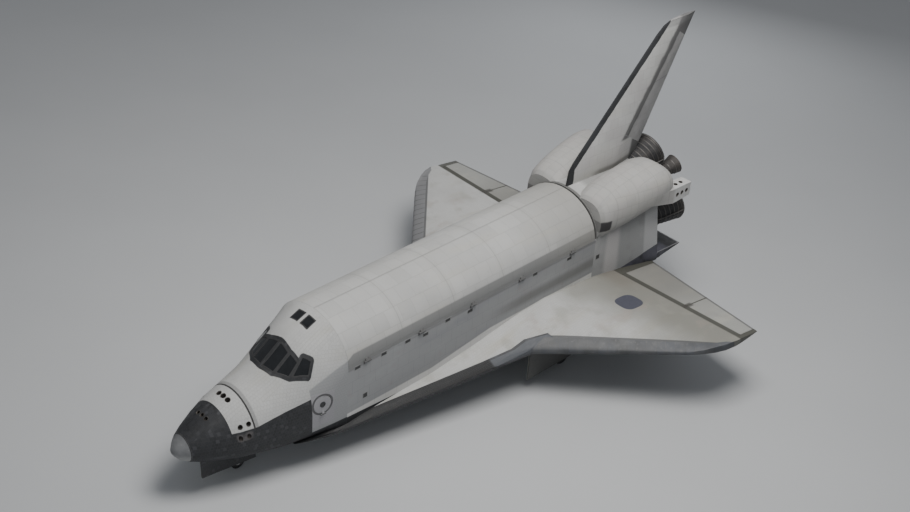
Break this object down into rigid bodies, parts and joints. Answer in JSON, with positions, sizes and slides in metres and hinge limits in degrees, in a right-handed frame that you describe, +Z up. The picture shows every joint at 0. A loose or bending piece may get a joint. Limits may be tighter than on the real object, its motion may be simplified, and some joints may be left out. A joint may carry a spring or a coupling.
{
  "type": "orbital spaceplane",
  "caption": "Delta-winged orbital spaceplane on its landing gear, with an opening payload bay, hollow cabin, moving control surfaces and rocket nozzles at the tail.",
  "frame": {"origin": "on the ground, at the centre of the bounding box's footprint", "axes": "+X towards the nose, +Y to port, +Z up; the vehicle stands nose down by 3.3 degrees, as it parks"},
  "size_m": [36.2302, 23.78, 17.2595],
  "materials": {
    "white_blanket": "matt white quilted insulation",
    "white_tile": "matt off-white heat tiles, black on the belly and chine",
    "black_tile": "black heat tiles",
    "carbon_edge": "grey reinforced carbon",
    "glass": "dark thick panes",
    "engine_metal": "dark heat-stained metal",
    "gear_metal": "satin grey metal",
    "tyre_rubber": "black rubber, blank side walls"
  },
  "bodies": {
    "airframe": {"aft_fuselage": "white_tile", "base_heat_shield": "white_tile", "fin": "white_blanket", "forward_fuselage": "white_tile", "mid_fuselage": "white_tile", "nose_cap": "carbon_edge", "nose_leg": "gear_metal", "port_centre_window": "glass", "port_engine_pod": "white_blanket", "port_leading_edge": "carbon_edge", "port_main_engine": "engine_metal", "port_main_gear_door": "black_tile", "port_main_leg": "gear_metal", "port_middle_window": "glass", "port_nose_gear_door": "black_tile", "port_orbital_engine": "engine_metal", "port_overhead_window": "glass", "port_side_window": "glass", "port_wing": "white_tile", "starboard_centre_window": "glass", "starboard_engine_pod": "white_blanket", "starboard_leading_edge": "carbon_edge", "starboard_main_engine": "engine_metal", "starboard_main_gear_door": "black_tile", "starboard_main_leg": "gear_metal", "starboard_middle_window": "glass", "starboard_nose_gear_door": "black_tile", "starboard_orbital_engine": "engine_metal", "starboard_overhead_window": "glass", "starboard_side_window": "glass", "starboard_wing": "white_tile", "thruster_module": "white_tile", "upper_main_engine": "engine_metal"},
    "port_bay_door": {"port_bay_door": "white_blanket"},
    "starboard_bay_door": {"starboard_bay_door": "white_blanket"},
    "side_hatch": {"side_hatch": "white_tile"},
    "nose_steering": {"nose_steering_leg": "gear_metal"},
    "nose_wheels": {"nose_axle": "gear_metal", "nose_inner_tyre": "tyre_rubber", "nose_outer_tyre": "tyre_rubber"},
    "port_main_wheels": {"port_main_axle": "gear_metal", "port_main_inner_tyre": "tyre_rubber", "port_main_outer_tyre": "tyre_rubber"},
    "starboard_main_wheels": {"starboard_main_axle": "gear_metal", "starboard_main_inner_tyre": "tyre_rubber", "starboard_main_outer_tyre": "tyre_rubber"},
    "port_inboard_elevon": {"port_inboard_elevon": "white_tile"},
    "port_outboard_elevon": {"port_outboard_elevon": "white_tile"},
    "starboard_inboard_elevon": {"starboard_inboard_elevon": "white_tile"},
    "starboard_outboard_elevon": {"starboard_outboard_elevon": "white_tile"},
    "body_flap": {"body_flap": "black_tile"},
    "rudder": {"rudder_hinge_tube": "gear_metal"},
    "port_rudder_half": {"port_rudder_half": "white_blanket"},
    "starboard_rudder_half": {"starboard_rudder_half": "white_blanket"}
  },
  "joints": [
    {"name": "port_bay_door_hinge", "type": "hinge", "parent": "airframe", "child": "port_bay_door", "pos_m": [-0.14894, 2.731, 5.90449], "axis": [-0.9983, 0, 0.0576], "range_deg": [0, 175.5]},
    {"name": "starboard_bay_door_hinge", "type": "hinge", "parent": "airframe", "child": "starboard_bay_door", "pos_m": [-0.14894, -2.731, 5.90449], "axis": [0.9983, 0, -0.0576], "range_deg": [0, 175.5]},
    {"name": "side_hatch_hinge", "type": "hinge", "parent": "airframe", "child": "side_hatch", "pos_m": [11.01558, 2.60125, 3.22937], "axis": [-0.9983, 0, 0.0576], "range_deg": [0, 90]},
    {"name": "nose_steering", "type": "hinge", "parent": "airframe", "child": "nose_steering", "pos_m": [14.37871, 0, 1.10225], "axis": [0.0576, 0, 0.9983], "range_deg": [-10, 10]},
    {"name": "nose_wheel_spin", "type": "hinge", "parent": "nose_steering", "child": "nose_wheels", "pos_m": [14.33842, 0, 0.40345], "axis": [0, 1, 0], "continuous": true},
    {"name": "port_main_wheel_spin", "type": "hinge", "parent": "airframe", "child": "port_main_wheels", "pos_m": [-5.57551, 3.5, 0.56145], "axis": [0, 1, 0], "continuous": true},
    {"name": "starboard_main_wheel_spin", "type": "hinge", "parent": "airframe", "child": "starboard_main_wheels", "pos_m": [-5.57551, -3.5, 0.56145], "axis": [0, 1, 0], "continuous": true},
    {"name": "port_inboard_elevon_hinge", "type": "hinge", "parent": "airframe", "child": "port_inboard_elevon", "pos_m": [-10.94431, 5.66, 3.51641], "axis": [0.0029, 0.9987, 0.0507], "range_deg": [-25, 40]},
    {"name": "port_outboard_elevon_hinge", "type": "hinge", "parent": "airframe", "child": "port_outboard_elevon", "pos_m": [-10.93228, 9.77, 3.72505], "axis": [0.0029, 0.9987, 0.0507], "range_deg": [-25, 40]},
    {"name": "starboard_inboard_elevon_hinge", "type": "hinge", "parent": "airframe", "child": "starboard_inboard_elevon", "pos_m": [-10.94431, -5.66, 3.51641], "axis": [-0.0029, 0.9987, -0.0507], "range_deg": [-25, 40]},
    {"name": "starboard_outboard_elevon_hinge", "type": "hinge", "parent": "airframe", "child": "starboard_outboard_elevon", "pos_m": [-10.93228, -9.77, 3.72505], "axis": [-0.0029, 0.9987, -0.0507], "range_deg": [-25, 40]},
    {"name": "body_flap_hinge", "type": "hinge", "parent": "airframe", "child": "body_flap", "pos_m": [-14.641, 0, 3.50673], "axis": [0, 1, 0], "range_deg": [-22.5, 11.7]},
    {"name": "rudder_turn", "type": "hinge", "parent": "airframe", "child": "rudder", "pos_m": [-13.24144, 0, 10.66804], "axis": [-0.51, 0, 0.8602], "range_deg": [-27, 27]},
    {"name": "port_speed_brake", "type": "hinge", "parent": "rudder", "child": "port_rudder_half", "pos_m": [-13.24144, 0, 10.66804], "axis": [0.51, 0, -0.8602], "range_deg": [0, 49]},
    {"name": "starboard_speed_brake", "type": "hinge", "parent": "rudder", "child": "starboard_rudder_half", "pos_m": [-13.24144, 0, 10.66804], "axis": [-0.51, 0, 0.8602], "range_deg": [0, 49]}
  ],
  "couplings": [
    {"joint": "starboard_speed_brake", "follows": "port_speed_brake", "ratio": 1}
  ]
}
